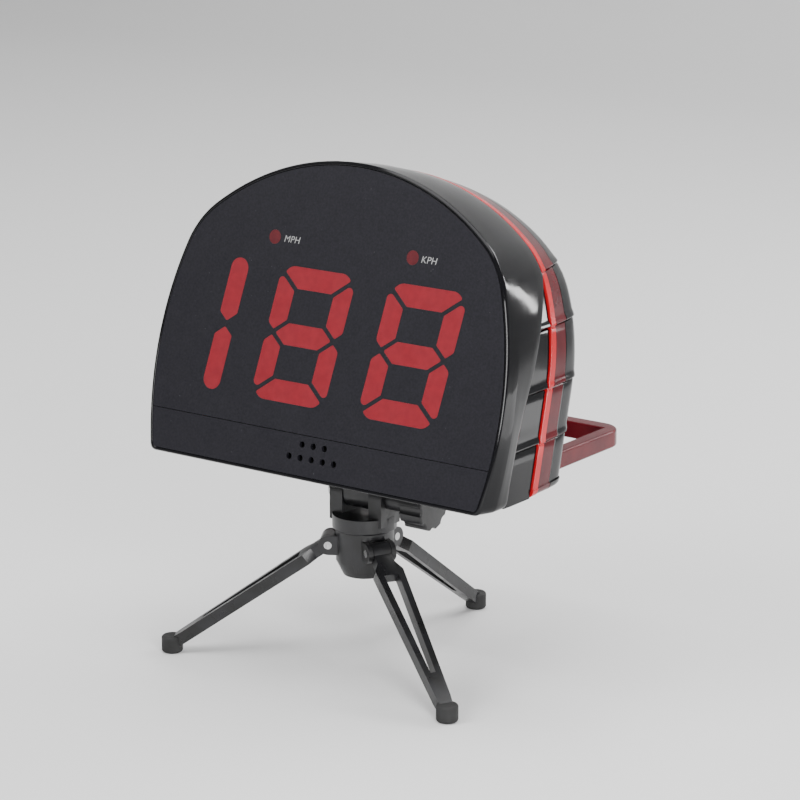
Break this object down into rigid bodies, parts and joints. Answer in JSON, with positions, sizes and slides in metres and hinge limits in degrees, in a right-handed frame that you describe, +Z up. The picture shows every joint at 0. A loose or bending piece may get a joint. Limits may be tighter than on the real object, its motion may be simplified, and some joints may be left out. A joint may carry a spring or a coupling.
{
  "type": "speed radar display",
  "caption": "Hands-free sports speed radar: dome-shaped three-digit display head with a red ring, on a folding mini tripod with pan and tilt.",
  "frame": {"origin": "on the ground, in the middle of the whole object's box", "axes": "+Z up, the display faces -Y, +X to the display's right as its reader sees it"},
  "size_m": [0.2144, 0.161, 0.2584],
  "materials": {
    "gloss_black": "high gloss moulded plastic",
    "panel_grey": "fine matte printed panel",
    "segment_red": "frosted translucent red",
    "indicator_red": "clear red lens",
    "ring_red": "translucent tinted red, gloss",
    "bead_red": "bright translucent red",
    "bail_red": "dark red moulded plastic",
    "rubber_black": "soft matte rubber",
    "tripod_black": "satin moulded plastic",
    "leg_black": "satin ribbed plastic",
    "button_grey": "silicone key",
    "board_green": "solder mask",
    "chip_black": "moulded package",
    "reflector_white": "white light box",
    "led_white": "LED package",
    "copper_gold": "plated patch",
    "steel": "zinc plated",
    "brass": "turned brass",
    "cell_wrap": "plain printed wrap",
    "foam": "closed-cell foam",
    "cone_paper": "paper cone"
  },
  "bodies": {
    "tripod": {"tripod_hub": "tripod_black", "leg_pins": "steel"},
    "swivel": {"tilt_yoke": "tripod_black"},
    "clamp": {"clamp_screw": "steel", "clamp_knob": "tripod_black"},
    "mount_screw": {"camera_screw": "steel", "thumb_wheel": "tripod_black"},
    "bail": {"bail_stand": "bail_red"},
    "door": {"battery_door": "gloss_black"},
    "mode_key": {"mode_button": "button_grey"},
    "power_key": {"power_button": "button_grey"},
    "unit_key": {"unit_button": "button_grey"},
    "right_leg": {"leg_right": "leg_black", "foot_right": "rubber_black"},
    "rear_leg": {"leg_rear": "leg_black", "foot_rear": "rubber_black"},
    "left_leg": {"leg_left": "leg_black", "foot_left": "rubber_black"},
    "head": {"front_bezel": "gloss_black", "display_panel": "panel_grey", "lower_fascia": "panel_grey", "digit_segments_hundreds": "segment_red", "digit_segments_tens": "segment_red", "digit_segments_ones": "segment_red", "unit_indicator_lenses": "indicator_red", "segment_reflector": "reflector_white", "display_board": "board_green", "board_screws": "steel", "segment_leds": "led_white", "radar_board": "board_green", "antenna_patches": "copper_gold", "radar_spacers": "steel", "radar_shield": "steel", "main_board_spacers": "steel", "main_board": "board_green", "board_chips": "chip_black", "speaker_gasket": "foam", "speaker_frame": "chip_black", "speaker_cone": "cone_paper", "left_side_shell": "gloss_black", "right_side_shell": "gloss_black", "ring_bead": "bead_red", "light_ring": "ring_red", "rear_cover": "gloss_black", "base_plate": "tripod_black", "tripod_insert": "brass", "base_feet": "rubber_black", "battery_box": "tripod_black", "battery_cells": "cell_wrap", "battery_contacts": "steel", "door_pin": "steel", "switch_board": "board_green", "push_switches": "chip_black", "housing_screws": "steel", "bail_pins": "steel", "tripod_platform": "tripod_black", "platform_pad": "rubber_black"}
  },
  "joints": [
    {"name": "right_leg_fold", "type": "hinge", "parent": "tripod", "child": "right_leg", "pos_m": [0.01559, -0.034, 0.062], "axis": [0.5, 0.866, 0], "range_deg": [0, 54.9]},
    {"name": "rear_leg_fold", "type": "hinge", "parent": "tripod", "child": "rear_leg", "pos_m": [0, -0.007, 0.062], "axis": [-1, 0, 0], "range_deg": [0, 54.9]},
    {"name": "left_leg_fold", "type": "hinge", "parent": "tripod", "child": "left_leg", "pos_m": [-0.01559, -0.034, 0.062], "axis": [0.5, -0.866, 0], "range_deg": [0, 54.9]},
    {"name": "pan_swivel", "type": "hinge", "parent": "tripod", "child": "swivel", "pos_m": [0, -0.025, 0.07], "axis": [0, 0, 1], "continuous": true},
    {"name": "head_tilt", "type": "hinge", "parent": "swivel", "child": "head", "pos_m": [0, -0.025, 0.088], "axis": [1, 0, 0], "range_deg": [-30, 30]},
    {"name": "clamp_turn", "type": "hinge", "parent": "swivel", "child": "clamp", "pos_m": [0.036, -0.025, 0.088], "axis": [1, 0, 0], "range_deg": [0, 180]},
    {"name": "mount_screw_turn", "type": "hinge", "parent": "head", "child": "mount_screw", "pos_m": [0, -0.025, 0.1005], "axis": [0, 0, 1], "continuous": true},
    {"name": "bail_swing", "type": "hinge", "parent": "head", "child": "bail", "pos_m": [0, 0.0061, 0.1102], "axis": [1, 0, 0], "range_deg": [0, 75]},
    {"name": "door_swing", "type": "hinge", "parent": "head", "child": "door", "pos_m": [0, 0.00223, 0.10765], "axis": [-1, 0, 0], "range_deg": [0, 100]},
    {"name": "mode_press", "type": "slide", "parent": "head", "child": "mode_key", "axis": [0, -0.9675, 0.2529], "range_m": [0, 0.0012], "stiffness_N_per_m": 500, "springref_m": -0.001},
    {"name": "power_press", "type": "slide", "parent": "head", "child": "power_key", "axis": [0, -0.9675, 0.2529], "range_m": [0, 0.0012], "stiffness_N_per_m": 500, "springref_m": -0.001},
    {"name": "unit_press", "type": "slide", "parent": "head", "child": "unit_key", "axis": [0, -0.9675, 0.2529], "range_m": [0, 0.0012], "stiffness_N_per_m": 500, "springref_m": -0.001}
  ]
}
